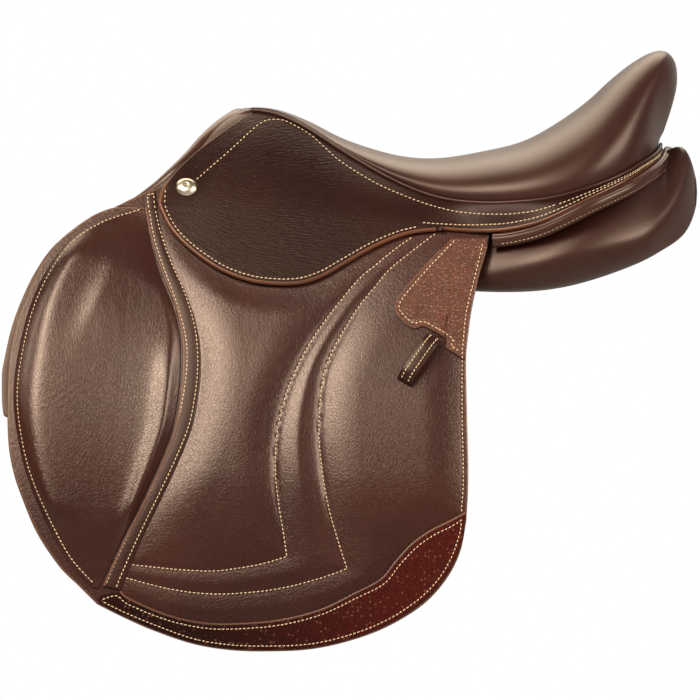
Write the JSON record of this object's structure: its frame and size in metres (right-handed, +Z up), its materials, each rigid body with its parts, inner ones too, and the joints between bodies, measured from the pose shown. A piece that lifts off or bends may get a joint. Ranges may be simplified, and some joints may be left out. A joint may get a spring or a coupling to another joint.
{
  "type": "jumping saddle",
  "caption": "Close-contact leather jumping saddle with forward-cut flaps that lift, lifting skirts over stirrup bars, stuffed panels and girth straps that swing.",
  "frame": {"origin": "on the centre plane over the horse's back, at the level of the panels' lowest bearing line, halfway along the saddle", "axes": "+X from pommel to cantle, +Z up, left (near) side at -Y"},
  "size_m": [0.6093, 0.4922, 0.5294],
  "materials": {
    "seat_leather": "satin smooth leather",
    "skirt_leather": "satin leather with fine wrinkle grain",
    "edge_leather": "rolled leather edge",
    "roll_leather": "satin leather",
    "flap_leather": "satin smooth leather",
    "grain_leather": "pebbled leather",
    "patch_leather": "pebbled leather",
    "panel_leather": "soft satin leather",
    "billet_leather": "strap leather",
    "webbing": "woven webbing",
    "foam": "foam",
    "tree_wood": "laminated beech",
    "steel": "satin steel",
    "nail_metal": "warm nickel"
  },
  "bodies": {
    "root": {"seat_cover": "seat_leather", "seat_welt": "seat_leather", "skirt_yoke_left": "skirt_leather", "skirt_yoke_right": "skirt_leather", "tail_edge_left": "edge_leather", "tail_edge_right": "edge_leather", "pommel_roll": "roll_leather", "rear_band": "roll_leather", "flap_top_left": "flap_leather", "flap_top_right": "flap_leather", "panel_left": "panel_leather", "panel_right": "panel_leather", "sweat_flap_left": "panel_leather", "sweat_flap_right": "panel_leather", "knee_block_left": "panel_leather", "knee_block_right": "panel_leather", "thigh_block_left": "panel_leather", "thigh_block_right": "panel_leather", "seat_web": "webbing", "girth_webs_left": "webbing", "girth_webs_right": "webbing", "seat_foam": "foam", "tree_head": "tree_wood", "tree_rail_left": "tree_wood", "tree_rail_right": "tree_wood", "tree_cantle": "tree_wood", "tree_springs": "steel", "head_plate": "steel", "stirrup_bar_left": "steel", "stirrup_bar_right": "steel", "catch_pins": "steel", "bar_rivets": "steel", "saddle_nails": "nail_metal"},
    "flap_left": {"flap_left": "flap_leather", "insert_left": "flap_leather", "strip_left": "flap_leather", "trim_left": "grain_leather", "patch_left": "patch_leather", "keeper_left": "flap_leather"},
    "skirt_left": {"skirt_left": "skirt_leather", "skirt_edge_left": "edge_leather"},
    "catch_left": {"bar_catch_left": "steel"},
    "billet_left_front": {"billet_left_front": "billet_leather"},
    "billet_left_middle": {"billet_left_middle": "billet_leather"},
    "billet_left_rear": {"billet_left_rear": "billet_leather"},
    "flap_right": {"flap_right": "flap_leather", "insert_right": "flap_leather", "strip_right": "flap_leather", "trim_right": "grain_leather", "patch_right": "patch_leather", "keeper_right": "flap_leather"},
    "skirt_right": {"skirt_right": "skirt_leather", "skirt_edge_right": "edge_leather"},
    "catch_right": {"bar_catch_right": "steel"},
    "billet_right_front": {"billet_right_front": "billet_leather"},
    "billet_right_middle": {"billet_right_middle": "billet_leather"},
    "billet_right_rear": {"billet_right_rear": "billet_leather"}
  },
  "joints": [
    {"name": "flap_left_lift", "type": "hinge", "parent": "root", "child": "flap_left", "pos_m": [-0.03522, -0.1261, 0.06602], "axis": [-0.9954, 0.0492, 0.0823], "range_deg": [0, 70]},
    {"name": "skirt_left_lift", "type": "hinge", "parent": "flap_left", "child": "skirt_left", "pos_m": [-0.03522, -0.1261, 0.06602], "axis": [-0.9954, 0.0492, 0.0823], "range_deg": [0, 45]},
    {"name": "catch_left_turn", "type": "hinge", "parent": "root", "child": "catch_left", "pos_m": [-0.01486, -0.07718, 0.08802], "axis": [0, -1, 0], "range_deg": [0, 90]},
    {"name": "billet_left_front_swing", "type": "hinge", "parent": "root", "child": "billet_left_front", "pos_m": [-0.12768, -0.1186, 0.04577], "axis": [0, -0.8664, 0.4994], "range_deg": [-5, 5]},
    {"name": "billet_left_middle_swing", "type": "hinge", "parent": "root", "child": "billet_left_middle", "pos_m": [-0.05284, -0.12062, 0.04225], "axis": [0, -0.8686, 0.4954], "range_deg": [-5, 5]},
    {"name": "billet_left_rear_swing", "type": "hinge", "parent": "root", "child": "billet_left_rear", "pos_m": [0.02201, -0.12261, 0.03873], "axis": [0, -0.8709, 0.4914], "range_deg": [-5, 5]},
    {"name": "flap_right_lift", "type": "hinge", "parent": "root", "child": "flap_right", "pos_m": [-0.03522, 0.1261, 0.06602], "axis": [0.9954, 0.0492, -0.0823], "range_deg": [0, 70]},
    {"name": "skirt_right_lift", "type": "hinge", "parent": "flap_right", "child": "skirt_right", "pos_m": [-0.03522, 0.1261, 0.06602], "axis": [0.9954, 0.0492, -0.0823], "range_deg": [0, 45]},
    {"name": "catch_right_turn", "type": "hinge", "parent": "root", "child": "catch_right", "pos_m": [-0.01486, 0.07718, 0.08802], "axis": [0, -1, 0], "range_deg": [0, 90]},
    {"name": "billet_right_front_swing", "type": "hinge", "parent": "root", "child": "billet_right_front", "pos_m": [-0.12768, 0.1186, 0.04577], "axis": [0, 0.8664, 0.4994], "range_deg": [-5, 5]},
    {"name": "billet_right_middle_swing", "type": "hinge", "parent": "root", "child": "billet_right_middle", "pos_m": [-0.05284, 0.12062, 0.04225], "axis": [0, 0.8686, 0.4954], "range_deg": [-5, 5]},
    {"name": "billet_right_rear_swing", "type": "hinge", "parent": "root", "child": "billet_right_rear", "pos_m": [0.02201, 0.12261, 0.03873], "axis": [0, 0.8709, 0.4914], "range_deg": [-5, 5]}
  ]
}
